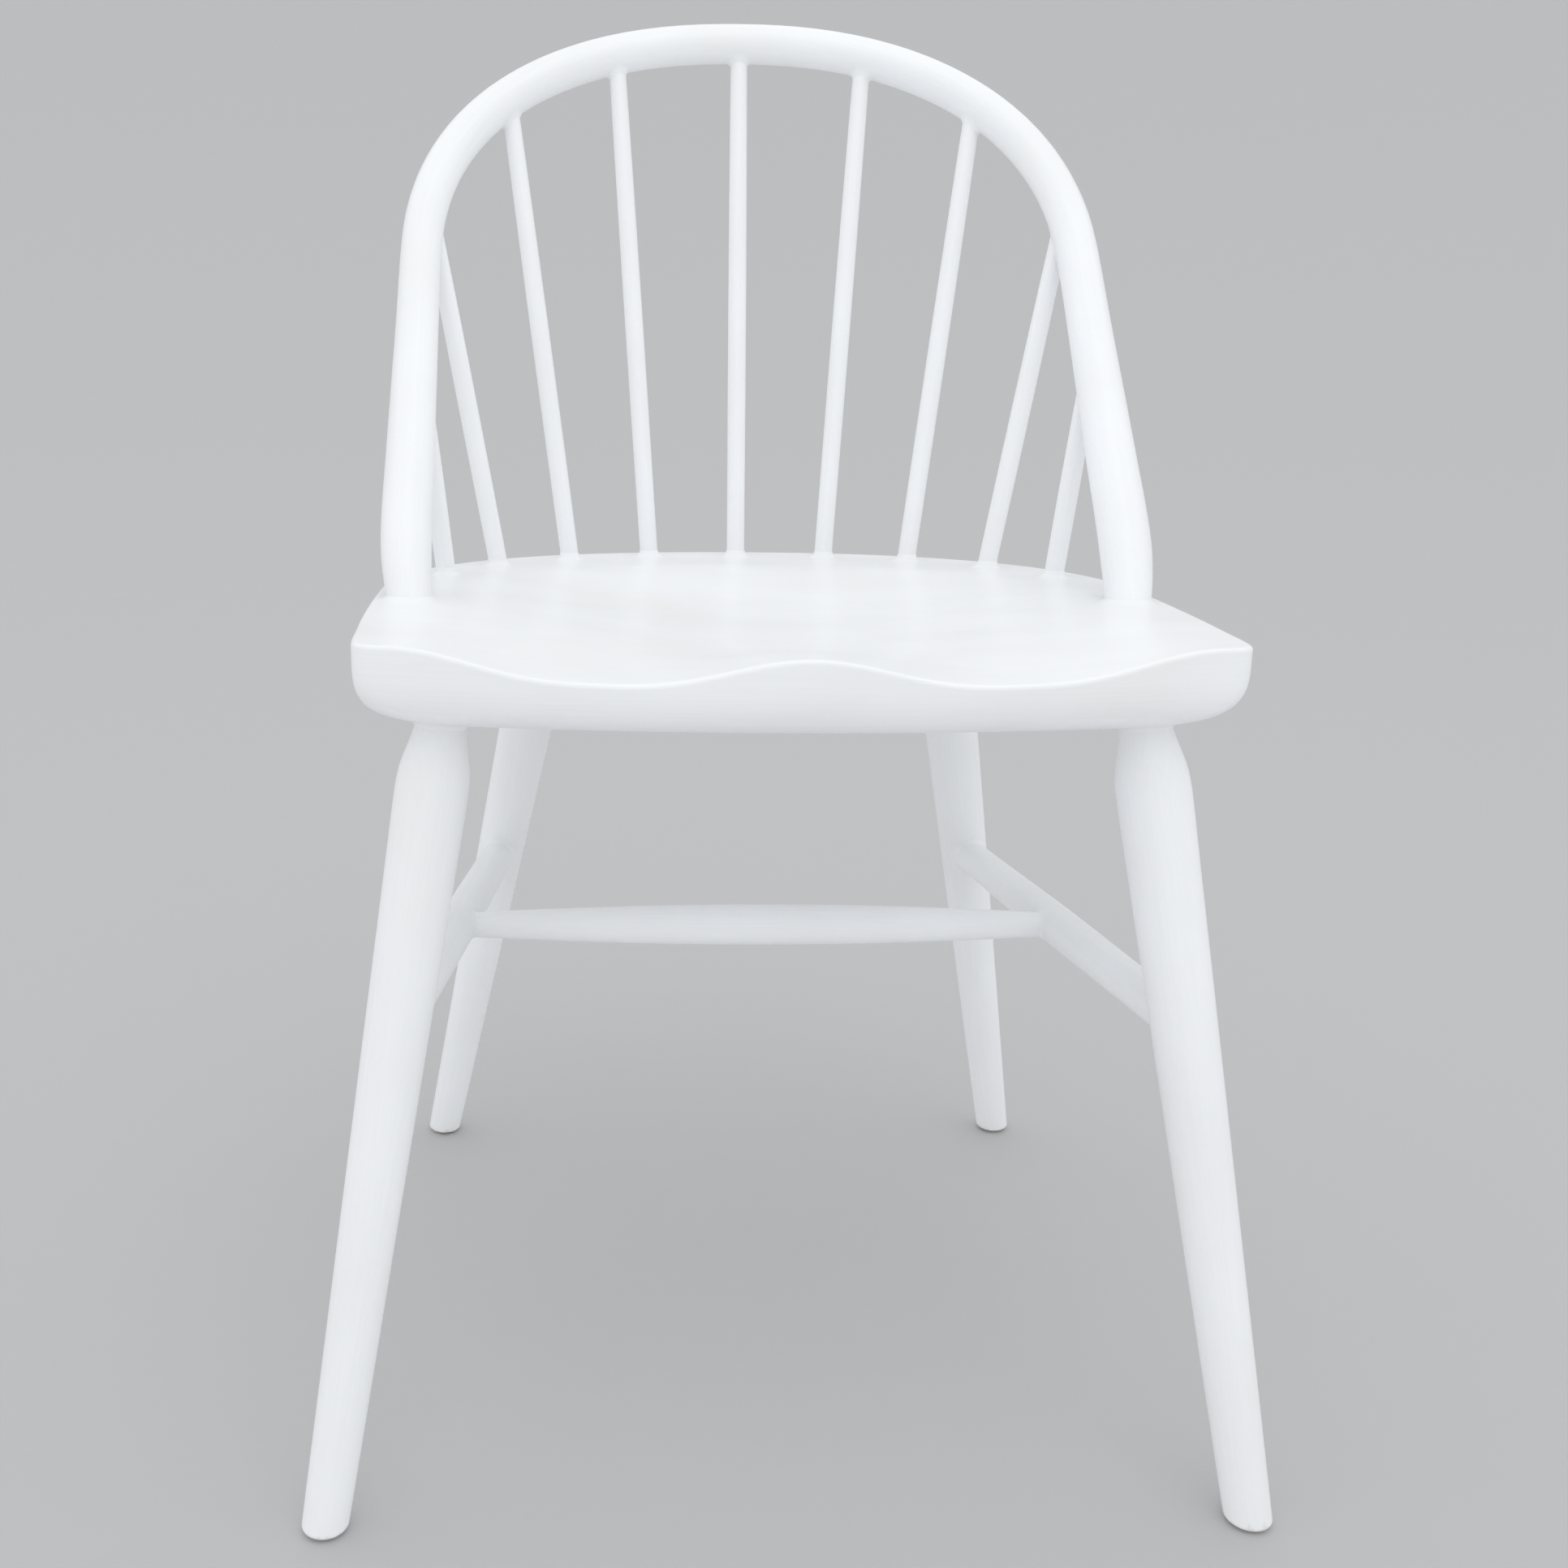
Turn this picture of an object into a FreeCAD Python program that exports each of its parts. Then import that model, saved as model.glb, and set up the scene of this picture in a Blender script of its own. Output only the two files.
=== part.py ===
import FreeCAD, Part
import math
import os
from FreeCAD import Placement, Rotation, Vector

# Hoop-back Windsor side chair in painted hardwood, modelled in millimetres.
# +Z is up and +Y points to the chair's back, so the sitter faces -Y.
# Heights are from the floor. Depths (y) are from midway between the front and back feet,
# and at the very end every piece moves so that the origin is under the middle of the whole chair.
# Every rod ends in a tapered round tenon, glued in a socket with the same taper.

# Joints
GLUE_GAP = 0.1            # between a tenon and the wall of its socket
SOCKET_CLEARANCE = 1.5    # empty depth past the end of each tenon

# Seat: a solid plank, dished on top and rounded away underneath
SEAT_HEIGHT = 456.2       # rim of the seat at its front corners
SEAT_THICK = 45.2
SEAT_TILT = 1.1           # degrees that the seat falls towards the back
SEAT_HALF_WIDTH = 230.5   # at its widest, beside the hoop's feet
SEAT_WIDEST_Y = 40.0
SEAT_BACK_DEPTH = 201.0   # from the widest place to the back edge
SEAT_BACK_POWER = 2.3     # roundness of the back, where 2 would be an ellipse
SEAT_FRONT_Y = -188.0     # middle of the bowed front edge
FRONT_BOW_RADIUS = 1025.0
SIDE_BOW_RADIUS = 2600.0
CORNER_Y = -163.0         # depth at which SEAT_HEIGHT is measured
CORNER_RADIUS = 14.4      # front corners seen from above
CORNER_GROWTH = 1.3       # added to that radius for each unit that the edge is drawn in
EDGE_BAND = 10.3          # upright part of the seat's edge
UNDERCUT = 46.0           # how far the rounded edge runs in under the seat
EDGE_POWER = 2.84         # roundness of that edge, where 2 would be an ellipse
RIM_SOFTENING = 2.2

# Saddle: two thigh hollows at the front that join in one bowl behind the pommel
HOLLOW_DEPTH = 13.8
HOLLOW_POWER = 3.0        # the higher, the flatter the floor of each hollow
DISH_DEPTH = 16.0
DISH_HALF_WIDTH = 204.0
DISH_SIDE_END_Y = 20.0    # the sides of the dish run straight as far as here
DISH_BACK_Y = 168.0
DISH_POWER = 1.3
POMMEL_LENGTH = 135.0
POMMEL_DROP = 2.7         # pommel below the level of the rim

# Hoop: one bent rod that lies in a plane leaning back from the seat
HOOP_LEAN = 40.9          # degrees from upright
HOOP_FOOT_Y = -7.6
HOOP_FOOT_Z = 451.0
HOOP_HALF_WIDTH = 212.7
HOOP_LEG = 260.0          # below the arch, measured up the leaning plane
HOOP_ARCH = 194.7         # rise of the arch above the legs
HOOP_POWER = 2.257
HOOP_R_TOP = 12.9
HOOP_R_SIDE = 13.1
HOOP_R_LEG = 15.0
HOOP_R_FOOT = 12.7        # where the rod enters the seat
HOOP_R_TENON = 9.3
HOOP_TENON = 36.0
HOOP_TAPER = 48.0         # length over which the leg thins down to the foot
HOOP_TOE_IN = 4.5         # how far the feet bend in towards each other
HOOP_TOE_FROM = 60.0      # height up the plane where that bend begins

# Spindles: base distance from the middle line, and height of the top up the leaning plane
SPINDLE_PLACES = [(0.0, 454.7), (61.3, 443.3), (116.8, 401.0), (164.6, 304.0), (195.8, 186.0)]
SPINDLE_INSET = 25.0      # from the back edge of the seat
SPINDLE_R_BASE = 6.1
SPINDLE_R_BODY = 6.25
SPINDLE_R_TOP = 5.7
SPINDLE_R_TENON = 4.3
SPINDLE_SEAT_TENON = 20.0
SPINDLE_PAST_HOOP = 2.0   # end of the top tenon past the middle of the hoop

# Legs: foot on the floor and top at the underside of the seat, as (x, y) of the right-hand leg
LEGS = {"front": {"foot": (243.0, -225.0), "top": (181.3, -129.0), "swell": 19.0, "foot_r": 12.1},
        "back": {"foot": (215.0, 225.0), "top": (134.0, 144.0), "swell": 18.2, "foot_r": 11.5}}
LEG_TENON = 30.0
LEG_R_TENON = 11.6
LEG_R_NECK = 13.3
LEG_SWELL_AT = 40.0       # thickest place, below the seat
FOOT_SOFTENING = 2.4

# Glides: nylon discs let into the feet and nailed on
GLIDE_R = 7.8
GLIDE_THICK = 4.0
GLIDE_PROUD = 1.5
NAIL_R = 1.1
NAIL_HEAD_R = 3.2
NAIL_LENGTH = 18.0

# Side stretchers: heights at which they meet the middle lines of the legs
SIDE_FRONT_Z = 256.5
SIDE_BACK_Z = 243.0
SIDE_R_MIDDLE = 12.0
SIDE_R_END = 11.0
SIDE_R_TENON = 8.0
CROSS_ALONG_SIDE = 0.5    # the cross stretcher meets the side stretchers halfway
CROSS_R_MIDDLE = 12.5
CROSS_R_END = 7.7
CROSS_R_TENON = 5.8
STRETCHER_PAST_AXIS = 3.0  # tenons end just past the middle of the rod they enter

HOOP_UP = Vector(0, math.sin(math.radians(HOOP_LEAN)), math.cos(math.radians(HOOP_LEAN)))
HOOP_NORMAL = Vector(0, math.cos(math.radians(HOOP_LEAN)), -math.sin(math.radians(HOOP_LEAN)))
SEAT_PLACE = Placement(Vector(0, 0, SEAT_HEIGHT), Rotation(Vector(1, 0, 0), -SEAT_TILT),
                       Vector(0, CORNER_Y, 0))


def seat_point(x, y, depth=0.0):
    """Point of the tilted seat, at a depth below the plane of its rim."""
    return SEAT_PLACE.multVec(Vector(x, y, -depth))


def superellipse(across, rise, power, angle):
    """Point of a rounded arch at an angle from its spring (0) to its crown (90 degrees)."""
    c, s = math.cos(angle), math.sin(angle)
    reach = ((abs(c) / across) ** power + (abs(s) / rise) ** power) ** (-1.0 / power)
    return reach * c, reach * s


def turned(start, end, body, tenon_low=None, tenon_high=None, gap=0.0):
    """Rod turned on the line from start to end. body is (distance, radius) along it, and a
    tenon is (distance, radius) of its tip. gap makes the rod a cutter for its own socket.
    The seam of its faces is on the side away from the chair's middle, clear of the sockets."""
    low = [] if tenon_low is None else [tenon_low]
    high = [] if tenon_high is None else [tenon_high]
    outline = [Vector(r + gap, 0, d) for d, r in low + body + high]
    if gap and low:
        outline[0].z -= SOCKET_CLEARANCE
    if gap and high:
        outline[-1].z += SOCKET_CLEARANCE
    first, last = len(low), len(low) + len(body)
    curve = Part.BSplineCurve()
    curve.interpolate(outline[first:last])
    edges = [curve.toShape()]
    if low:
        edges.insert(0, Part.makeLine(outline[0], outline[1]))
    if high:
        edges.append(Part.makeLine(outline[-2], outline[-1]))
    axis_low = Vector(0, 0, outline[0].z)
    axis_high = Vector(0, 0, outline[-1].z)
    edges.insert(0, Part.makeLine(axis_low, outline[0]))
    edges.append(Part.makeLine(outline[-1], axis_high))
    edges.append(Part.makeLine(axis_high, axis_low))
    rod = Part.Face(Part.Wire(edges)).revolve(Vector(0, 0, 0), Vector(0, 0, 1), 360)
    outward = Vector(start.x + end.x, start.y + end.y, 0)
    rod.Placement = Placement(start, Rotation(outward, Vector(), end - start, "ZXY"))
    return rod


def circle_meet(centre_a, radius_a, centre_b, radius_b):
    """Front right-hand point where two circles seen from above cross."""
    between = centre_b - centre_a
    gap = between.Length
    along = (radius_a ** 2 - radius_b ** 2 + gap ** 2) / (2 * gap)
    aside = math.sqrt(radius_a ** 2 - along ** 2)
    unit = between / gap
    points = [centre_a + unit * along + Vector(-unit.y, unit.x, 0) * side
              for side in (aside, -aside)]
    return min(points, key=lambda p: p.y)


def arc_points(centre, start, end, steps):
    """Points of an arc seen from above, from start up to but not at its end."""
    first = math.atan2(start.y - centre.y, start.x - centre.x)
    last = math.atan2(end.y - centre.y, end.x - centre.x)
    radius = (start - centre).Length
    angles = [first + (last - first) * step / steps for step in range(steps)]
    return [centre + Vector(math.cos(a), math.sin(a), 0) * radius for a in angles]


def seat_outline(inset, depth):
    """Outline of the seat, drawn in by inset, at a depth below the rim's plane."""
    side_centre = Vector(SEAT_HALF_WIDTH - SIDE_BOW_RADIUS, SEAT_WIDEST_Y, 0)
    front_centre = Vector(0, SEAT_FRONT_Y + FRONT_BOW_RADIUS, 0)
    side_r, front_r = SIDE_BOW_RADIUS - inset, FRONT_BOW_RADIUS - inset
    corner_r = CORNER_RADIUS + inset * CORNER_GROWTH
    corner = circle_meet(side_centre, side_r - corner_r, front_centre, front_r - corner_r)
    widest = Vector(SEAT_HALF_WIDTH - inset, SEAT_WIDEST_Y, 0)
    side_end = side_centre + (corner - side_centre).normalize() * side_r
    front_end = front_centre + (corner - front_centre).normalize() * front_r
    front_mid = Vector(0, SEAT_FRONT_Y + inset, 0)

    half = []
    for step in range(14):
        x, y = superellipse(widest.x, SEAT_BACK_DEPTH - inset, SEAT_BACK_POWER,
                            math.pi / 2 * (1 - step / 14))
        half.append(Vector(x, SEAT_WIDEST_Y + y, 0))
    half += arc_points(side_centre, widest, side_end, 6)
    half += arc_points(corner, side_end, front_end, 6)
    half += arc_points(front_centre, front_end, front_mid, 8)
    other = [Vector(-p.x, p.y, 0) for p in reversed(half[1:])]
    curve = Part.BSplineCurve()
    curve.interpolate(Points=half + [front_mid] + other, PeriodicFlag=True)
    wire = Part.Wire(curve.toShape())
    wire.translate(Vector(0, 0, -depth))
    return wire


def dish(x, y):
    """Depth of the saddle below the plane of the rim."""
    across = abs(x) / DISH_HALF_WIDTH
    back = max(0.0, y - DISH_SIDE_END_Y) / (DISH_BACK_Y - DISH_SIDE_END_Y)
    out = math.hypot(across, back)
    if out >= 1:
        return 0.0
    bowl = math.cos(math.pi / 2 * out) ** DISH_POWER
    hollows = 1 - abs(math.cos(math.pi * out)) ** HOLLOW_POWER
    t = min(1.0, max(0.0, (y - SEAT_FRONT_Y) / POMMEL_LENGTH))
    blend = t * t * (3 - 2 * t)
    front = hollows * HOLLOW_DEPTH + bowl * POMMEL_DROP
    return front * (1 - blend) + bowl * DISH_DEPTH * blend


def saddle_cutter():
    """Solid above the saddle's surface, whose underside is the dished top of the seat."""
    margin, columns, rows = 12.0, 45, 33
    low_y, high_y = SEAT_FRONT_Y - margin, SEAT_WIDEST_Y + SEAT_BACK_DEPTH + margin
    half = SEAT_HALF_WIDTH + margin
    grid = []
    for i in range(columns):
        x = -half + 2 * half * i / (columns - 1)
        line = []
        for j in range(rows):
            y = low_y + (high_y - low_y) * j / (rows - 1)
            line.append(Vector(x, y, -dish(x, y)))
        grid.append(line)
    surface = Part.BSplineSurface()
    surface.interpolate(grid)
    return surface.toShape().extrude(Vector(0, 0, 40))


def seat_blank():
    """Saddled plank before its sockets are bored, with its rim in the plane z = 0."""
    levels = [(0.0, -6.0), (0.0, 2.5), (0.0, EDGE_BAND)]
    height = SEAT_THICK - EDGE_BAND
    for degrees in (4, 12, 24, 38, 52, 66, 78, 90):
        across, down = superellipse(1, 1, EDGE_POWER, math.radians(degrees))
        levels.append((UNDERCUT * (1 - across), EDGE_BAND + height * down))
    plank = Part.makeLoft([seat_outline(*level) for level in levels], True, False)
    saddled = plank.cut(saddle_cutter())
    rim = [edge for edge in saddled.Edges
           if edge.BoundBox.ZMin > -DISH_DEPTH - 2 and edge.BoundBox.ZMax < 1]
    return saddled.makeFillet(RIM_SOFTENING, rim)


def hoop_point(t, side=1):
    """Point of the hoop's middle line at a height t up the leaning plane."""
    x = HOOP_HALF_WIDTH
    if t > HOOP_LEG:
        x *= max(0.0, 1 - ((t - HOOP_LEG) / HOOP_ARCH) ** HOOP_POWER) ** (1 / HOOP_POWER)
    elif t < HOOP_TOE_FROM:
        bend = 1 - max(t, 0.0) / HOOP_TOE_FROM
        x -= HOOP_TOE_IN * (bend ** 2 - 2 * min(t, 0.0) / HOOP_TOE_FROM)
    return Vector(side * x, HOOP_FOOT_Y, HOOP_FOOT_Z) + HOOP_UP * t


def hoop_direction(t):
    """Direction of the right-hand leg of the hoop, going up."""
    turn = 2 * HOOP_TOE_IN / HOOP_TOE_FROM * min(1.0, max(0.0, 1 - t / HOOP_TOE_FROM))
    return (HOOP_UP + Vector(turn, 0, 0)).normalize()


def hoop_radius(t):
    """Radius of the hoop's rod at a height t up the leaning plane."""
    if t <= 0:
        return HOOP_R_FOOT + (HOOP_R_FOOT - HOOP_R_TENON) * t / HOOP_TENON
    if t < HOOP_TAPER:
        s = t / HOOP_TAPER
        return HOOP_R_FOOT + (HOOP_R_LEG - HOOP_R_FOOT) * math.sin(math.pi / 2 * s)
    top = HOOP_LEG + HOOP_ARCH
    if t < HOOP_LEG:
        s = (t - HOOP_TAPER) / (HOOP_LEG - HOOP_TAPER)
        return HOOP_R_LEG + (HOOP_R_SIDE - HOOP_R_LEG) * s * s * (3 - 2 * s)
    s = (t - HOOP_LEG) / (top - HOOP_LEG)
    return HOOP_R_SIDE + (HOOP_R_TOP - HOOP_R_SIDE) * s


def hoop(gap=0.0):
    """Bent rod of the back, with both tenons, as a loft through round sections."""
    tip = -HOOP_TENON - (SOCKET_CLEARANCE if gap else 0.0)
    sections = [(hoop_point(t), hoop_direction(t), hoop_radius(t))
                for t in (tip, -HOOP_TENON / 2, 0, 18, 36, 54, 90, 150, 210)]
    steps = 12
    for step in range(steps + 1):
        angle = math.pi / 2 * step / steps
        x, rise = superellipse(HOOP_HALF_WIDTH, HOOP_ARCH, HOOP_POWER, angle)
        slope_x = (abs(rise) / HOOP_ARCH) ** (HOOP_POWER - 1) / HOOP_ARCH
        slope_up = (abs(x) / HOOP_HALF_WIDTH) ** (HOOP_POWER - 1) / HOOP_HALF_WIDTH
        along = (HOOP_UP * slope_up - Vector(slope_x, 0, 0)).normalize()
        t = HOOP_LEG + rise
        centre = Vector(x, HOOP_FOOT_Y, HOOP_FOOT_Z) + HOOP_UP * t
        sections.append((centre, along, hoop_radius(t)))
    for centre, along, radius in reversed(sections[:-1]):
        sections.append((Vector(-centre.x, centre.y, centre.z),
                         Vector(along.x, -along.y, -along.z), radius))
    wires = []
    for centre, along, radius in sections:
        wire = Part.Wire(Part.makeCircle(radius + gap))
        wire.Placement = Placement(centre, Rotation(HOOP_NORMAL, Vector(), along, "ZXY"))
        wires.append(wire)
    return Part.makeLoft(wires, True, False)


def spindle(base_x, top_t, side, gap=0.0):
    """One back spindle, from the platform behind the saddle up into the hoop."""
    across = SEAT_HALF_WIDTH - SPINDLE_INSET
    rise = SEAT_BACK_DEPTH - SPINDLE_INSET
    back = rise * (1 - (base_x / across) ** SEAT_BACK_POWER) ** (1 / SEAT_BACK_POWER)
    base = seat_point(side * base_x, SEAT_WIDEST_Y + back)
    top = hoop_point(top_t, side)
    length = (top - base).Length
    body = [(0.0, SPINDLE_R_BASE), (length * 0.2, SPINDLE_R_BODY),
            (length * 0.5, SPINDLE_R_BODY), (length - HOOP_R_TOP, SPINDLE_R_TOP)]
    return turned(base, top, body, (-SPINDLE_SEAT_TENON, SPINDLE_R_TENON),
                  (length + SPINDLE_PAST_HOOP, SPINDLE_R_TENON), gap)


def leg_line(row, side):
    """Foot on the floor and top at the underside of the seat, for one leg."""
    foot_x, foot_y = LEGS[row]["foot"]
    top_x, top_y = LEGS[row]["top"]
    return Vector(side * foot_x, foot_y, 0), seat_point(side * top_x, top_y, SEAT_THICK)


def leg_radius(row, below):
    """Radius of a leg's straight lower part, at a distance below the seat."""
    foot, top = leg_line(row, 1)
    share = (below - LEG_SWELL_AT) / ((top - foot).Length - LEG_SWELL_AT)
    return LEGS[row]["swell"] + (LEGS[row]["foot_r"] - LEGS[row]["swell"]) * share


def leg(row, side, gap=0.0):
    """Turned leg: tapered tenon, narrow neck, swelling and a long straight taper."""
    foot, top = leg_line(row, side)
    length = (top - foot).Length
    swell = LEGS[row]["swell"]
    rise = swell - LEG_R_NECK
    body = [(0.0, LEG_R_NECK), (9.0, LEG_R_NECK + rise * 0.20), (18.0, LEG_R_NECK + rise * 0.60),
            (28.0, LEG_R_NECK + rise * 0.93), (LEG_SWELL_AT, swell)]
    body += [(below, leg_radius(row, below)) for below in (70.0, 120.0, 220.0, 320.0, length + 8)]
    return turned(top, foot, body, (-LEG_TENON, LEG_R_TENON), None, gap)


def finished_leg(row, side, stretcher):
    """Leg trimmed level at the floor, bored for its stretcher and let in for its glide."""
    foot, _ = leg_line(row, side)
    below_foot = Part.makeBox(80, 80, 60, foot + Vector(-40, -40, GLIDE_PROUD - 60))
    piece = leg(row, side).cut(below_foot)
    rim = [edge for edge in piece.Edges if edge.BoundBox.ZMax < GLIDE_PROUD + 0.2]
    piece = piece.makeFillet(FOOT_SOFTENING, rim)
    recess = Part.makeCylinder(GLIDE_R + GLUE_GAP, GLIDE_THICK, foot)
    return piece.cut([stretcher, recess, glide_nail(row, side)])


def glide(row, side):
    """Nylon disc under a foot, softened where it meets the floor and pierced for its nail."""
    foot, _ = leg_line(row, side)
    disc = Part.makeCylinder(GLIDE_R, GLIDE_THICK, foot)
    rim = [edge for edge in disc.Edges if edge.BoundBox.ZMax < 0.1 and edge.Length > 1]
    return disc.makeFillet(0.8, rim).cut(glide_nail(row, side))


def glide_nail(row, side):
    """Steel nail that holds a glide, with its head sunk in the nylon."""
    foot, _ = leg_line(row, side)
    head_low = foot + Vector(0, 0, GLIDE_PROUD * 0.6)
    head = Part.makeCylinder(NAIL_HEAD_R, 1.2, head_low)
    shank = Part.makeCylinder(NAIL_R, NAIL_LENGTH - 3, head_low)
    point = Part.makeCone(NAIL_R, 0.2, 3, head_low + Vector(0, 0, NAIL_LENGTH - 3))
    return head.fuse([shank, point])


def leg_at_height(row, side, z):
    """Point of a leg's middle line at a height."""
    foot, top = leg_line(row, side)
    return foot + (top - foot) * (z / top.z)


def side_line(side):
    """Where a side stretcher's middle line crosses those of the front and back legs."""
    return leg_at_height("front", side, SIDE_FRONT_Z), leg_at_height("back", side, SIDE_BACK_Z)


def side_stretcher(side, gap=0.0):
    """Rod between a front and a back leg, thickest in the middle."""
    front, back = side_line(side)
    length = (back - front).Length
    inside = 15.0
    body = [(inside, SIDE_R_END), (length * 0.27, SIDE_R_MIDDLE - 0.5),
            (length * 0.5, SIDE_R_MIDDLE),
            (length * 0.73, SIDE_R_MIDDLE - 0.5), (length - inside, SIDE_R_END)]
    return turned(front, back, body, (-STRETCHER_PAST_AXIS, SIDE_R_TENON),
                  (length + STRETCHER_PAST_AXIS, SIDE_R_TENON), gap)


def cross_stretcher(gap=0.0):
    """Swelled rod between the middles of the two side stretchers."""
    ends = []
    for side in (-1, 1):
        front, back = side_line(side)
        ends.append(front + (back - front) * CROSS_ALONG_SIDE)
    length = (ends[1] - ends[0]).Length
    inside = 11.0
    swell = CROSS_R_MIDDLE - CROSS_R_END
    half = [(inside, CROSS_R_END), (length * 0.13, CROSS_R_END + swell * 0.36),
            (length * 0.22, CROSS_R_END + swell * 0.62), (length * 0.34, CROSS_R_END + swell * 0.88)]
    body = half + [(length * 0.5, CROSS_R_MIDDLE)] + [(length - d, r) for d, r in reversed(half)]
    return turned(ends[0], ends[1], body, (-STRETCHER_PAST_AXIS, CROSS_R_TENON),
                  (length + STRETCHER_PAST_AXIS, CROSS_R_TENON), gap)


def build():
    """Every piece of the chair by its node name, in its place."""
    sides = {"left": -1, "right": 1}
    spindles = []
    for base_x, top_t in reversed(SPINDLE_PLACES[1:]):
        spindles.append((base_x, top_t, -1))
    for base_x, top_t in SPINDLE_PLACES:
        spindles.append((base_x, top_t, 1))

    seat = seat_blank()
    seat.Placement = SEAT_PLACE
    leg_cutters = [leg(row, side, GLUE_GAP) for row in LEGS for side in sides.values()]
    spindle_cutters = [spindle(*place, GLUE_GAP) for place in spindles]
    pieces = {"seat": seat.cut([hoop(GLUE_GAP)] + leg_cutters + spindle_cutters),
              "hoop": hoop().cut(spindle_cutters)}
    for number, place in enumerate(spindles, start=1):
        pieces[f"spindle_{number}"] = spindle(*place)
    nails = []
    for row in LEGS:
        for name, side in sides.items():
            pieces[f"leg_{row}_{name}"] = finished_leg(row, side, side_stretcher(side, GLUE_GAP))
            pieces[f"glide_{row}_{name}"] = glide(row, side)
            nails.append(glide_nail(row, side))
    pieces["glide_nails"] = Part.makeCompound(nails)
    cross_cutter = cross_stretcher(GLUE_GAP)
    for name, side in sides.items():
        pieces[f"side_stretcher_{name}"] = side_stretcher(side).cut(cross_cutter)
    pieces["cross_stretcher"] = cross_stretcher()

    whole = Part.makeCompound(list(pieces.values())).optimalBoundingBox(False, False)
    to_origin = Vector(0, -(whole.YMin + whole.YMax) / 2, 0)
    for shape in pieces.values():
        shape.translate(to_origin)
    return pieces, to_origin


def main():
    os.makedirs("parts", exist_ok=True)
    pieces, moved = build()
    for name, shape in pieces.items():
        shape.exportStep(f"parts/{name}.step")
        print(name, "valid", shape.isValid(), "solids", len(shape.Solids),
              "volume_cm3", round(shape.Volume / 1000, 2))
    print("moved to the origin by", round(moved.y, 3))


main()
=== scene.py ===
import math
import bpy
from mathutils import Matrix, Vector


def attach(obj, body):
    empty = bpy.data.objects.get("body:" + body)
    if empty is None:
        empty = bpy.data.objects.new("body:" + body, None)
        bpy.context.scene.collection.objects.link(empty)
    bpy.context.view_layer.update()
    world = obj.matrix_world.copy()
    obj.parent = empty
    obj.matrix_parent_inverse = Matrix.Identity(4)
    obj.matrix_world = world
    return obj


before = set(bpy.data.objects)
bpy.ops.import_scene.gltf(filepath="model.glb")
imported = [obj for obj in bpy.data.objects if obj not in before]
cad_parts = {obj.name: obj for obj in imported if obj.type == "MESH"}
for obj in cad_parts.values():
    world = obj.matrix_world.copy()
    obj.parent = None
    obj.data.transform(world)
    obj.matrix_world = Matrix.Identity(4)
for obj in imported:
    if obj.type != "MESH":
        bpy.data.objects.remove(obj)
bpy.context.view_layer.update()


# Seat
# One thick hardwood plank, saddled on top with two thigh hollows and a low pommel between
# them, and rounded away underneath. It is brushed with white satin paint from side to side,
# along the grain.
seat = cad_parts["seat"]
FULL_WHITE = (0.86, 0.868, 0.885, 1)
THIN_WHITE = (0.815, 0.82, 0.82, 1)
FOOT_GREY = (0.62, 0.59, 0.54, 1)


def straight_grain(direction):
    """Grain that runs one way through a straight piece."""
    def lay(nodes, links):
        place = nodes.new("ShaderNodeTexCoord")
        turn = nodes.new("ShaderNodeMapping")
        turn.vector_type = "TEXTURE"
        turn.inputs["Rotation"].default_value = Vector(direction).to_track_quat("Z", "Y").to_euler()
        links.new(place.outputs["Object"], turn.inputs["Vector"])
        return turn.outputs["Vector"]
    return lay


def reckoner(nodes, links):
    """Arithmetic for a material, one step a call, on sockets and numbers."""
    def work(operation, *values):
        step = nodes.new("ShaderNodeMath")
        step.operation = operation
        for slot, value in zip(step.inputs, values):
            if isinstance(value, float):
                slot.default_value = value
            else:
                links.new(value, slot)
        return step.outputs[0]
    return work


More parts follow.
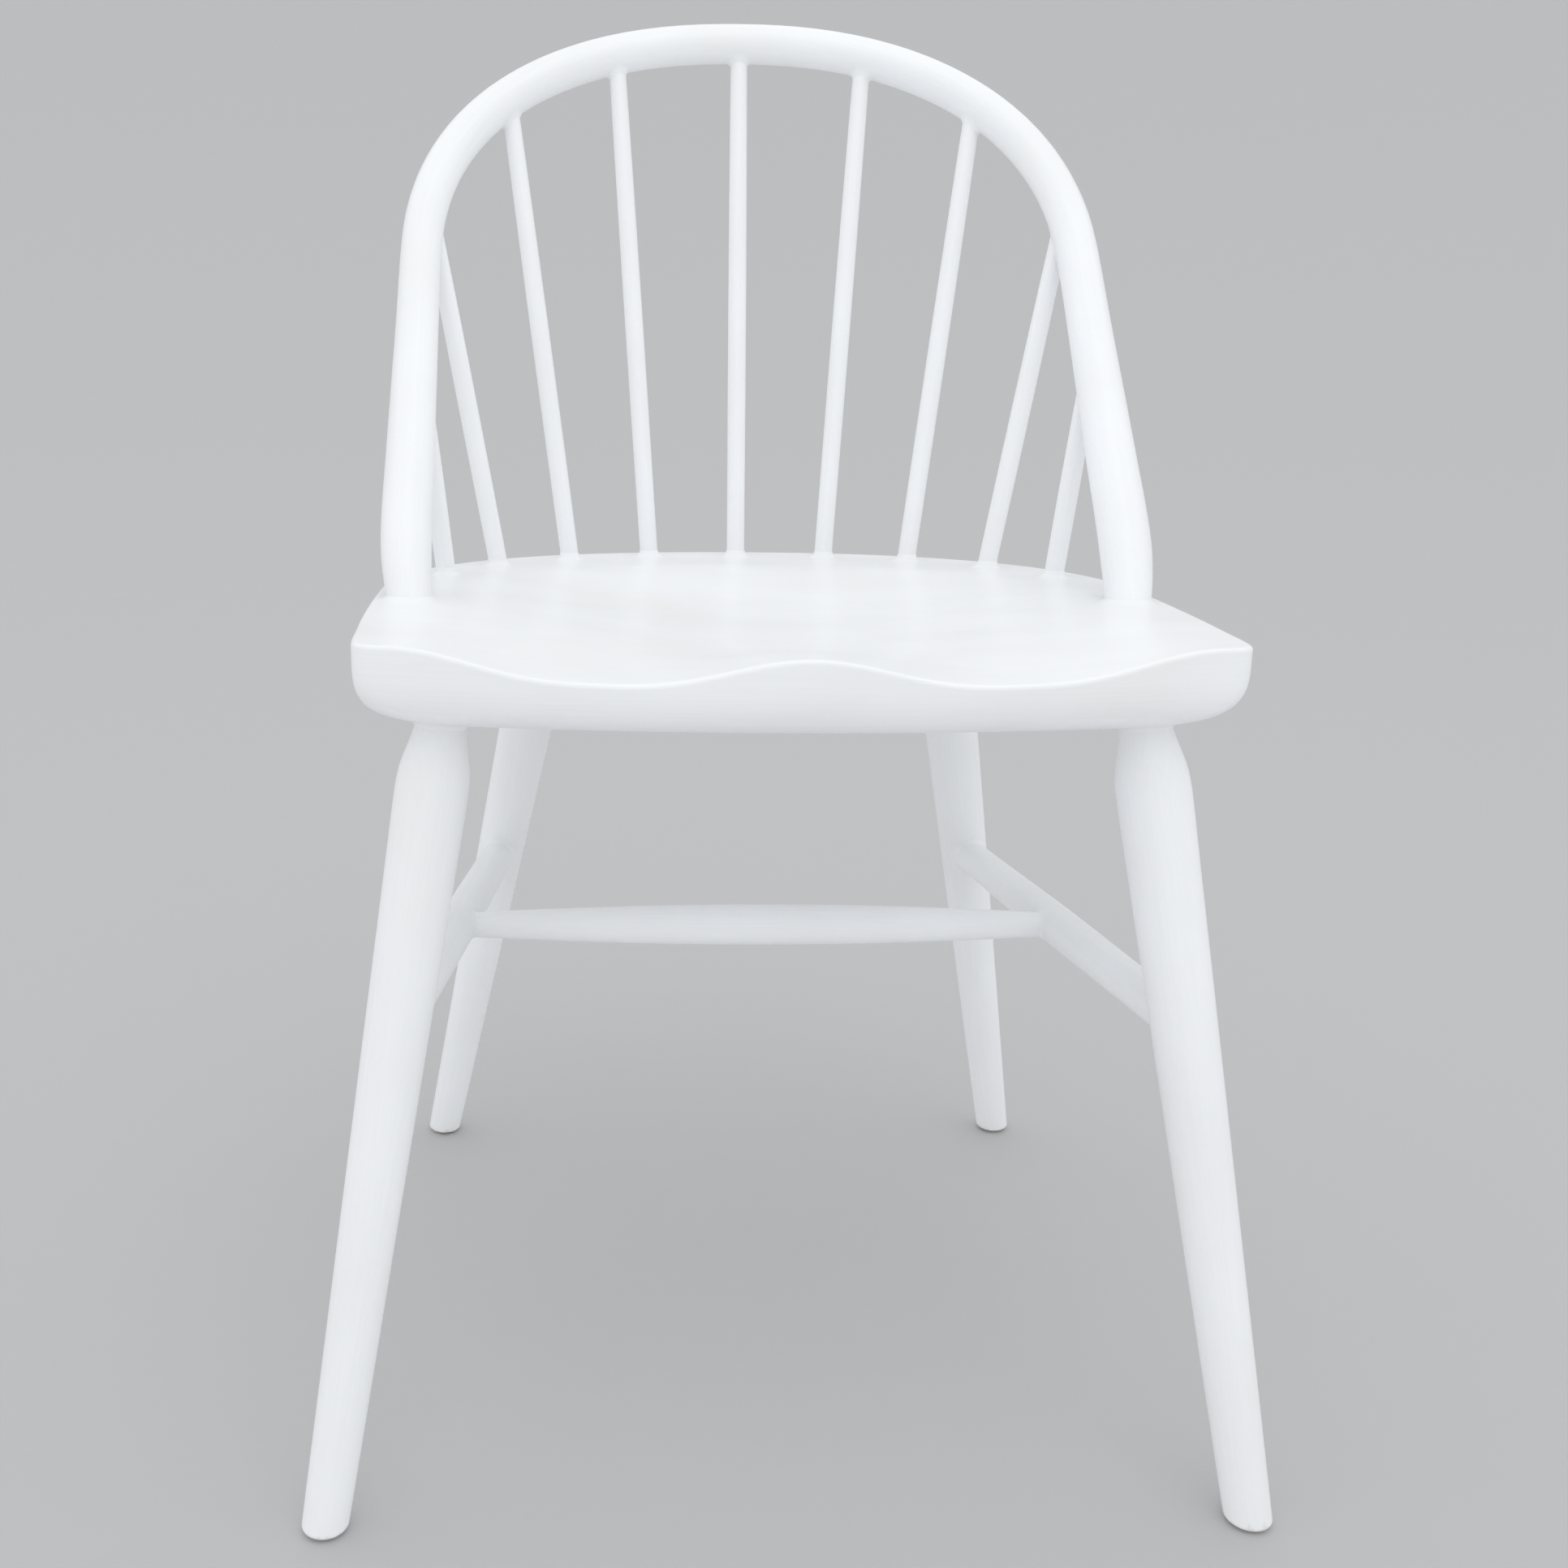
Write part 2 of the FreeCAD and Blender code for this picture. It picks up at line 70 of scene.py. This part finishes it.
def brushed_paint(name, grain, gloss=(0.34, 0.46), foot_grey_heights=None):
    """White paint brushed along the grain. grain lays coordinates whose Z follows the wood, and
    foot_grey_heights are the two heights from the floor between which grey-beige patches, denser
    towards the floor, fade out."""
    material = bpy.data.materials.new(name)
    material.use_nodes = True
    nodes, links = material.node_tree.nodes, material.node_tree.links
    shader = nodes["Principled BSDF"]
    shader.inputs["IOR"].default_value = 1.5
    shader.inputs["Specular IOR Level"].default_value = 0.35
    shader.inputs["Coat Weight"].default_value = 0.08
    shader.inputs["Coat Roughness"].default_value = 0.20
    wood = grain(nodes, links)
    work = reckoner(nodes, links)

    def streaks(across, along, detail, warp=0.0):
        """Noise drawn out along the grain, with so many waves per metre each way."""
        stretch = nodes.new("ShaderNodeMapping")
        stretch.inputs["Scale"].default_value = (across, across, along)
        links.new(wood, stretch.inputs["Vector"])
        noise = nodes.new("ShaderNodeTexNoise")
        noise.inputs["Scale"].default_value = 1
        noise.inputs["Detail"].default_value = detail
        noise.inputs["Distortion"].default_value = warp
        links.new(stretch.outputs["Vector"], noise.inputs["Vector"])
        return noise.outputs["Fac"]

    def spread(value, low, high, to_low=0.0, to_high=1.0):
        """Spreads the stretch from low to high over a new one."""
        spreader = nodes.new("ShaderNodeMapRange")
        spreader.inputs["From Min"].default_value = low
        spreader.inputs["From Max"].default_value = high
        spreader.inputs["To Min"].default_value = to_low
        spreader.inputs["To Max"].default_value = to_high
        links.new(value, spreader.inputs["Value"])
        return spreader.outputs["Result"]

    def tinted(factor, first, second):
        """Mix of two colours, where first is a socket or a colour."""
        mix = nodes.new("ShaderNodeMix")
        mix.data_type = "RGBA"
        links.new(factor, mix.inputs["Factor"])
        if isinstance(first, tuple):
            mix.inputs["A"].default_value = first
        else:
            links.new(first, mix.inputs["A"])
        mix.inputs["B"].default_value = second
        return mix.outputs["Result"]

    bristles = streaks(760, 14, 2)
    pores = spread(streaks(900, 70, 2), 0.57, 0.72)
    laps = streaks(30, 6, 2, 0.4)
    skin = streaks(640, 640, 2)
    patches = streaks(12, 8, 4)

    thin = spread(work("MULTIPLY_ADD", bristles, 0.4, patches), 0.55, 0.95)
    colour = tinted(thin, FULL_WHITE, THIN_WHITE)
    # Grey-beige patches, denser towards the floor, make the lowest centimetre of the feet darker
    if foot_grey_heights:
        place = nodes.new("ShaderNodeTexCoord")
        heights = nodes.new("ShaderNodeSeparateXYZ")
        links.new(place.outputs["Object"], heights.inputs["Vector"])
        low = spread(heights.outputs["Z"], foot_grey_heights[0], foot_grey_heights[1], 0.46, 0.0)
        foot_grey_patches = spread(work("ADD", streaks(260, 110, 5), low), 0.80, 1.05, 0.0, 0.6)
        colour = tinted(foot_grey_patches, colour, FOOT_GREY)
    links.new(colour, shader.inputs["Base Color"])
    dullness = spread(work("MULTIPLY_ADD", bristles, 0.5, laps), 0.5, 1.0, *gloss)
    links.new(dullness, shader.inputs["Roughness"])

    # Height in metres and strength of each kind of mark, laid one over the other
    surface = None
    for height, depth, strength in ((laps, 0.0005, 0.30), (bristles, 0.00007, 0.35),
                                    (pores, -0.00008, 0.18), (skin, 0.00005, 0.25)):
        bump = nodes.new("ShaderNodeBump")
        bump.inputs["Distance"].default_value = depth
        bump.inputs["Strength"].default_value = strength
        links.new(height, bump.inputs["Height"])
        if surface:
            links.new(surface, bump.inputs["Normal"])
        surface = bump.outputs["Normal"]
    links.new(surface, shader.inputs["Normal"])
    return material


def finish_with(piece, material):
    """Gives a piece one material all over."""
    piece.data.materials.clear()
    piece.data.materials.append(material)


def plank_grain(nodes, links):
    """Strokes that run from side to side on the top and underneath, and level along the
    edge all round it."""
    place = nodes.new("ShaderNodeTexCoord")
    split = nodes.new("ShaderNodeSeparateXYZ")
    links.new(place.outputs["Object"], split.inputs["Vector"])
    facing = nodes.new("ShaderNodeSeparateXYZ")
    links.new(place.outputs["Normal"], facing.inputs["Vector"])

    work = reckoner(nodes, links)
    x, y, z = split.outputs
    level = work("MULTIPLY", facing.outputs["Z"], facing.outputs["Z"])
    off_the_edge = work("GREATER_THAN", level, 0.4)
    join = nodes.new("ShaderNodeCombineXYZ")
    links.new(work("ADD", z, work("MULTIPLY", y, off_the_edge)), join.inputs["X"])
    links.new(work("ADD", x, y), join.inputs["Z"])
    return join.outputs["Vector"]


seat_paint = brushed_paint("seat_paint_brushed", plank_grain)
finish_with(seat, seat_paint)


# Hoop
# One round hardwood rod, steamed and bent to an arch, with both feet glued into the seat.
# The brush has followed the bend, and paint has gathered in the corners round the feet.
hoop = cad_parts["hoop"]
HOOP_LEAN = math.radians(40.9)
ARCH_MIDDLE = (0, 0.1295, 0.6475)
ARCH_RADIUS = 0.205
HOOP_FOOT = Vector((0.2082, -0.0408, 0.4510))
HOOP_FOOT_UP = Vector((0.1483, 0.6475, 0.7475))
HOOP_FOOT_RADIUS = 0.0127
SEAT_CORNER_WIDTH = 0.0045

# How each ring of paint is made: the points round it, how far out along the rod it starts, how
# deep its edges sink in the wall and in the rod, and how its hidden part closes in
RING_POINTS = 56
RING_START = 0.035
SINK_IN_WALL = 0.00006
SINK_IN_ROD = 0.0003
HIDDEN_DEPTH = 0.0006
HIDDEN_SHRINK = (0.97, 0.97, 1)
HAIR = 0.0001


def bent_grain(nodes, links):
    """Grain that runs up one leg of the hoop, round its arch and down the other leg."""
    place = nodes.new("ShaderNodeTexCoord")
    plane = nodes.new("ShaderNodeMapping")
    plane.vector_type = "TEXTURE"
    plane.inputs["Location"].default_value = ARCH_MIDDLE
    plane.inputs["Rotation"].default_value = (math.pi / 2 - HOOP_LEAN, 0, 0)
    links.new(place.outputs["Object"], plane.inputs["Vector"])
    split = nodes.new("ShaderNodeSeparateXYZ")
    links.new(plane.outputs["Vector"], split.inputs["Vector"])
    x, up, out = split.outputs
    work = reckoner(nodes, links)
    rising = work("MAXIMUM", up, 0.0)
    legs = work("MULTIPLY", work("MINIMUM", up, 0.0), work("SIGN", x))
    round_arch = work("MULTIPLY", work("ARCTAN2", rising, x), ARCH_RADIUS)
    squares = work("ADD", work("MULTIPLY", x, x), work("MULTIPLY", rising, rising))
    join = nodes.new("ShaderNodeCombineXYZ")
    links.new(work("POWER", squares, 0.5), join.inputs["X"])
    links.new(out, join.inputs["Y"])
    links.new(work("ADD", round_arch, legs), join.inputs["Z"])
    return join.outputs["Vector"]


def select_ring(ring, size):
    """Selects the points that lie this far from the ring's own axis."""
    bpy.ops.object.mode_set(mode="EDIT")
    bpy.ops.mesh.select_all(action="DESELECT")
    bpy.ops.object.mode_set(mode="OBJECT")
    for vertex in ring.data.vertices:
        distance = math.hypot(vertex.co.x, vertex.co.y)
        vertex.select = size - HAIR < distance < size + HAIR
    bpy.ops.object.mode_set(mode="EDIT")


def paint_corner(name, foot, along, radius, width, wall, paint):
    """Paint that rounds the corner where a rod enters a wall. foot is the place on the rod's
    middle line where it enters, and along points from there out of the wall."""
    foot, along = Vector(foot), Vector(along).normalized()
    start = foot + along * RING_START
    bpy.ops.object.select_all(action="DESELECT")
    bpy.ops.mesh.primitive_circle_add(
        vertices=RING_POINTS, radius=radius + width, location=start,
        rotation=along.to_track_quat("Z", "Y").to_euler())
    ring = bpy.context.object
    ring.name = ring.data.name = name

    # Flat loops that close in on the rod, dropped on the wall and raised to a hollow curve
    bpy.ops.object.mode_set(mode="EDIT")
    bpy.ops.mesh.select_all(action="SELECT")
    loops = [(radius + width, -SINK_IN_WALL)]
    for degrees in (20, 40, 60):
        turn = math.radians(degrees)
        nearer = radius + width * (1 - math.sin(turn))
        bpy.ops.mesh.extrude_edges_move()
        bpy.ops.transform.resize(value=(nearer / loops[-1][0],) * 3, center_override=start)
        loops.append((nearer, width * (1 - math.cos(turn))))
    bpy.ops.object.mode_set(mode="OBJECT")
    drop = ring.modifiers.new("drop on the wall", "SHRINKWRAP")
    drop.target, drop.wrap_method = wall, "PROJECT"
    drop.use_project_z = drop.use_negative_direction = True
    drop.use_positive_direction = False
    bpy.ops.object.modifier_apply(modifier=drop.name)
    for size, rise in loops:
        select_ring(ring, size)
        bpy.ops.transform.translate(value=along * rise)

    # The loop on the rod, then a hidden inside that closes the ring
    inner = radius - SINK_IN_ROD
    bpy.ops.mesh.extrude_edges_move()
    bpy.ops.transform.resize(value=(inner / size, inner / size, 1), orient_type="LOCAL",
                             center_override=start)
    bpy.ops.transform.translate(value=along * (width - rise))
    bpy.ops.mesh.extrude_edges_move()
    bpy.ops.transform.resize(value=HIDDEN_SHRINK, orient_type="LOCAL", center_override=start)
    bpy.ops.transform.translate(value=along * (-width - HIDDEN_DEPTH))
    select_ring(ring, radius + width)
    bpy.ops.mesh.extrude_edges_move()
    bpy.ops.transform.resize(value=HIDDEN_SHRINK, orient_type="LOCAL", center_override=start)
    bpy.ops.transform.translate(value=along * -HIDDEN_DEPTH)
    bpy.ops.object.mode_set(mode="OBJECT")
    bpy.ops.object.mode_set(mode="EDIT")
    bpy.ops.mesh.select_all(action="DESELECT")
    bpy.ops.mesh.select_non_manifold(extend=False, use_wire=False, use_boundary=True,
                                     use_multi_face=False, use_non_contiguous=False,
                                     use_verts=False)
    bpy.ops.mesh.bridge_edge_loops()
    bpy.ops.mesh.select_all(action="SELECT")
    bpy.ops.mesh.normals_make_consistent(inside=False)
    bpy.ops.object.mode_set(mode="OBJECT")
    bpy.ops.object.transform_apply(location=True, rotation=True, scale=True)
    bpy.ops.object.shade_smooth_by_angle(angle=math.radians(50))
    finish_with(ring, paint)
    return ring


def join_as(name, pieces):
    """Joins like pieces into one that rides with the chair."""
    bpy.ops.object.select_all(action="DESELECT")
    for piece in pieces:
        piece.select_set(True)
    bpy.context.view_layer.objects.active = pieces[0]
    bpy.ops.object.join()
    whole = bpy.context.object
    whole.name = whole.data.name = name
    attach(whole, "root")
    return whole


hoop_paint = brushed_paint("hoop_paint_brushed", bent_grain)
finish_with(hoop, hoop_paint)
corners = []
for side in (-1, 1):
    flip = Vector((side, 1, 1))
    corners.append(paint_corner("hoop_foot_corner", HOOP_FOOT * flip, HOOP_FOOT_UP * flip,
                                HOOP_FOOT_RADIUS, SEAT_CORNER_WIDTH, seat, seat_paint))
join_as("hoop_foot_paint", corners)


# Spindles
# Nine slender turned rods that fan out from the back edge of the seat to the hoop. Each has
# a tapered tenon glued in at both ends, and the paint rounds the corner at each end.
SPINDLES = [((0.0000, 0.1827, 0.4489), (0.0000, 0.2569, 0.7947)),
            ((0.0613, 0.1779, 0.4490), (0.0853, 0.2494, 0.7861)),
            ((0.1168, 0.1599, 0.4494), (0.1588, 0.2217, 0.7541)),
            ((0.1646, 0.1248, 0.4500), (0.2094, 0.1582, 0.6808)),
            ((0.1958, 0.0728, 0.4510), (0.2127, 0.0809, 0.5916))]
SPINDLE_FOOT_RADIUS = 0.0061
SPINDLE_TOP_RADIUS = 0.0057
SPINDLE_FOOT_WIDTH = 0.0055
SPINDLE_TOP_WIDTH = 0.0034
HOOP_RADIUS = 0.0129
feet, tops = [], []
for number in range(1, 10):
    low, high = SPINDLES[abs(number - 5)]
    flip = Vector((-1 if number < 5 else 1, 1, 1))
    low, high = Vector(low) * flip, Vector(high) * flip
    paint = brushed_paint(f"spindle_paint_brushed_{number}", straight_grain(high - low))
    finish_with(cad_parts[f"spindle_{number}"], paint)
    feet.append(paint_corner("spindle_foot_corner", low, high - low,
                             SPINDLE_FOOT_RADIUS, SPINDLE_FOOT_WIDTH, seat, seat_paint))
    entry = high + (low - high).normalized() * HOOP_RADIUS
    tops.append(paint_corner("spindle_top_corner", entry, low - high,
                             SPINDLE_TOP_RADIUS, SPINDLE_TOP_WIDTH, hoop, hoop_paint))
join_as("spindle_foot_paint", feet)
join_as("spindle_top_paint", tops)


# Legs
# Four turned hardwood legs, splayed both ways, with a narrow neck under the seat, a swelling
# below it and a long straight taper to the foot. The lowest centimetre of each foot turns
# grey-beige in patches, darker towards the floor.
LEGS = {"front": ((0.2430, -0.2582, 0.0), (0.1813, -0.1631, 0.4104)),
        "back": ((0.2150, 0.1918, 0.0), (0.1340, 0.1098, 0.4051))}
LEG_TOP_RADIUS = 0.0135
# Heights between which the feet turn darker grey-beige towards the floor
FOOT_GREY_HEIGHTS = (0.0015, 0.010)
leg_tops = []
for row, (low, high) in LEGS.items():
    for name, side in (("left", -1), ("right", 1)):
        flip = Vector((side, 1, 1))
        foot, top = Vector(low) * flip, Vector(high) * flip
        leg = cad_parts[f"leg_{row}_{name}"]
        paint = brushed_paint(f"leg_paint_brushed_{row}_{name}", straight_grain(top - foot),
                              foot_grey_heights=FOOT_GREY_HEIGHTS)
        finish_with(leg, paint)
        leg_tops.append(paint_corner("leg_top_corner", top, foot - top,
                                     LEG_TOP_RADIUS, SEAT_CORNER_WIDTH, seat, seat_paint))
join_as("leg_top_paint", leg_tops)


# Stretchers
# Two side rods between the front and back legs, and one swelled rod between their middles,
# all turned and glued in sockets. They brace the legs, and paint rounds each corner.
SIDE_FRONT = Vector((0.2044, -0.1988, 0.2565))
SIDE_BACK = Vector((0.1664, 0.1426, 0.2430))
SIDE_END_RADIUS = 0.0110
CROSS_END = (SIDE_FRONT + SIDE_BACK) / 2
CROSS_END_RADIUS = 0.0079
LEG_TO_CORNER = 0.016       # from a leg's middle line to where the side rod leaves it
SIDE_TO_CORNER = 0.012      # from a side rod's middle line to where the cross rod leaves it
SIDE_CORNER_WIDTH = 0.0028
CROSS_CORNER_WIDTH = 0.0024
cross_paint = brushed_paint("cross_stretcher_paint_brushed", straight_grain((1, 0, 0)))
finish_with(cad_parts["cross_stretcher"], cross_paint)
ends = []
for name, side in (("left", -1), ("right", 1)):
    flip = Vector((side, 1, 1))
    front, back, middle = SIDE_FRONT * flip, SIDE_BACK * flip, CROSS_END * flip
    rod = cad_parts[f"side_stretcher_{name}"]
    paint = brushed_paint(f"side_stretcher_paint_brushed_{name}", straight_grain(back - front))
    finish_with(rod, paint)
    for end, other, row in ((front, back, "front"), (back, front, "back")):
        way = (other - end).normalized()
        ends.append(paint_corner("side_stretcher_corner", end + way * LEG_TO_CORNER, way,
                                 SIDE_END_RADIUS, SIDE_CORNER_WIDTH,
                                 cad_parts[f"leg_{row}_{name}"], paint))
    inward = Vector((-side, 0, 0))
    ends.append(paint_corner("cross_stretcher_corner", middle + inward * SIDE_TO_CORNER, inward,
                             CROSS_END_RADIUS, CROSS_CORNER_WIDTH, rod, cross_paint))
join_as("stretcher_end_paint", ends)


# Glides
# A pale nylon disc let into the underside of each foot and held by one steel nail, so that
# the chair slides without marking the floor. The nylon is scratched and dulled by use.
def speckled(name, waves, detail, clean, worn, gloss):
    """Material whose colour and roughness run from clean to worn in fine specks, with so many
    waves per metre."""
    material = bpy.data.materials.new(name)
    material.use_nodes = True
    nodes, links = material.node_tree.nodes, material.node_tree.links
    shader = nodes["Principled BSDF"]
    place = nodes.new("ShaderNodeTexCoord")
    specks = nodes.new("ShaderNodeTexNoise")
    specks.inputs["Scale"].default_value = waves
    specks.inputs["Detail"].default_value = detail
    links.new(place.outputs["Object"], specks.inputs["Vector"])
    colour = nodes.new("ShaderNodeMix")
    colour.data_type = "RGBA"
    colour.inputs["A"].default_value = clean
    colour.inputs["B"].default_value = worn
    links.new(specks.outputs["Fac"], colour.inputs["Factor"])
    links.new(colour.outputs["Result"], shader.inputs["Base Color"])
    dull = nodes.new("ShaderNodeMapRange")
    dull.inputs["To Min"].default_value, dull.inputs["To Max"].default_value = gloss
    links.new(specks.outputs["Fac"], dull.inputs["Value"])
    links.new(dull.outputs["Result"], shader.inputs["Roughness"])
    return material


nylon = speckled(
    "nylon_scratched", 900, 5, (0.80, 0.79, 0.75, 1), (0.66, 0.64, 0.59, 1), (0.38, 0.62))
nodes, links = nylon.node_tree.nodes, nylon.node_tree.links
shader, scratches = nodes["Principled BSDF"], nodes["Noise Texture"].outputs["Fac"]
shader.inputs["Subsurface Weight"].default_value = 0.15
shader.inputs["Subsurface Scale"].default_value = 0.002
grooves = nodes.new("ShaderNodeBump")
grooves.inputs["Distance"].default_value = 0.0001
grooves.inputs["Strength"].default_value = 0.5
links.new(scratches, grooves.inputs["Height"])
links.new(grooves.outputs["Normal"], shader.inputs["Normal"])
for row in ("front", "back"):
    for name in ("left", "right"):
        finish_with(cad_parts[f"glide_{row}_{name}"], nylon)


# Glide nails
# One plated steel nail through each glide, with its flat head sunk in the nylon and a few
# dull spots where the plating has worn.
plated = speckled(
    "plated_steel_worn", 700, 4, (0.62, 0.62, 0.63, 1), (0.38, 0.36, 0.34, 1), (0.22, 0.55))
plated.node_tree.nodes["Principled BSDF"].inputs["Metallic"].default_value = 1.0
finish_with(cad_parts["glide_nails"], plated)


# Studio
# A pale grey paper floor that sweeps up out of sight all round, so that no horizon shows.
# The sky is even white and gives most of the light. A wide weak lamp stands in front of the
# chair, and a soft one hangs over its front edge.
FLOOR_RADIUS = 3.0
SWEEP_RADIUS = 2.0
SWEEP_STEPS = 12
WALL_HEIGHT = 1.5
PAPER_IN_BOUNCE = (0.69, 0.69, 0.695, 1)
PAPER_AS_SEEN = (0.48, 0.48, 0.485, 1)
SKY_STRENGTH = 1.09
SKY_WHITE = (0.97, 0.985, 1.0, 1)
LAMP_WHITE = (1.0, 0.995, 0.98)
# Name, place, aim, width in metres and watts
LAMPS = (("front_lamp", (-0.8, -5.0, 1.2), (0, 0, 0.35), 3.0, 4),
         ("key_lamp", (0.2, -0.7, 2.4), (0, 0, 0.45), 1.2, 2.6))
bpy.ops.object.select_all(action="DESELECT")
bpy.ops.mesh.primitive_circle_add(vertices=96, radius=FLOOR_RADIUS, fill_type="NGON")
floor = bpy.context.object
floor.name = floor.data.name = "studio_floor"
bpy.ops.object.select_all(action="DESELECT")
bpy.ops.mesh.primitive_circle_add(vertices=96, radius=FLOOR_RADIUS)
sweep = bpy.context.object
sweep.name = sweep.data.name = "studio_sweep"
bpy.ops.object.mode_set(mode="EDIT")
bpy.ops.mesh.select_all(action="SELECT")
width, height = FLOOR_RADIUS, 0.0
for step in range(1, SWEEP_STEPS + 1):
    turn = math.pi / 2 * step / SWEEP_STEPS
    wider = FLOOR_RADIUS + SWEEP_RADIUS * math.sin(turn)
    higher = SWEEP_RADIUS * (1 - math.cos(turn))
    bpy.ops.mesh.extrude_edges_move()
    bpy.ops.transform.resize(value=(wider / width, wider / width, 1), center_override=(0, 0, 0))
    bpy.ops.transform.translate(value=(0, 0, higher - height))
    width, height = wider, higher
bpy.ops.mesh.extrude_edges_move()
bpy.ops.transform.translate(value=(0, 0, WALL_HEIGHT))
bpy.ops.object.mode_set(mode="OBJECT")
bpy.ops.object.shade_smooth()
sweep.visible_diffuse = sweep.visible_shadow = False
paper = bpy.data.materials.new("studio_paper")
paper.use_nodes = True
nodes, links = paper.node_tree.nodes, paper.node_tree.links
shader = nodes["Principled BSDF"]
shader.inputs["Roughness"].default_value = 0.9
seen = nodes.new("ShaderNodeLightPath")
tone = nodes.new("ShaderNodeMix")
tone.data_type = "RGBA"
tone.inputs["A"].default_value = PAPER_IN_BOUNCE
tone.inputs["B"].default_value = PAPER_AS_SEEN
work = reckoner(nodes, links)
in_view = work("MAXIMUM", seen.outputs["Is Camera Ray"], seen.outputs["Is Glossy Ray"])
in_view = work("MAXIMUM", in_view, seen.outputs["Is Transmission Ray"])
links.new(in_view, tone.inputs["Factor"])
links.new(tone.outputs["Result"], shader.inputs["Base Color"])
for backdrop in (floor, sweep):
    finish_with(backdrop, paper)

world = bpy.data.worlds.new("studio_sky")
bpy.context.scene.world = world
world.use_nodes = True
sky = world.node_tree.nodes["Background"]
sky.inputs["Color"].default_value = SKY_WHITE
sky.inputs["Strength"].default_value = SKY_STRENGTH
for name, place, aim, size, power in LAMPS:
    lamp = bpy.data.lights.new(name, "AREA")
    lamp.shape, lamp.size, lamp.energy = "DISK", size, power
    lamp.color = LAMP_WHITE
    holder = bpy.data.objects.new(name, lamp)
    bpy.context.scene.collection.objects.link(holder)
    holder.location = place
    holder.rotation_euler = (Vector(place) - Vector(aim)).to_track_quat("Z", "Y").to_euler()

# The camera stands where it was worked out from the photograph
CAMERA_PLACE = (-0.1126, -1.0000, 0.6084)
CAMERA_HEADING, CAMERA_DIP, CAMERA_ROLL = -1.364, 15.361, 0.450
lens = bpy.data.cameras.new("photo_camera")
lens.sensor_width = 36
lens.lens = 38.456
lens.shift_x, lens.shift_y = 0.1082, -0.0017
camera = bpy.data.objects.new("photo_camera", lens)
bpy.context.scene.collection.objects.link(camera)
camera.matrix_world = (Matrix.Translation(CAMERA_PLACE)
                       @ Matrix.Rotation(math.radians(CAMERA_HEADING), 4, "Z")
                       @ Matrix.Rotation(math.radians(90 - CAMERA_DIP), 4, "X")
                       @ Matrix.Rotation(math.radians(CAMERA_ROLL), 4, "Z"))
bpy.context.scene.camera = camera
bpy.context.scene.view_settings.view_transform = "Standard"

bpy.context.view_layer.update()
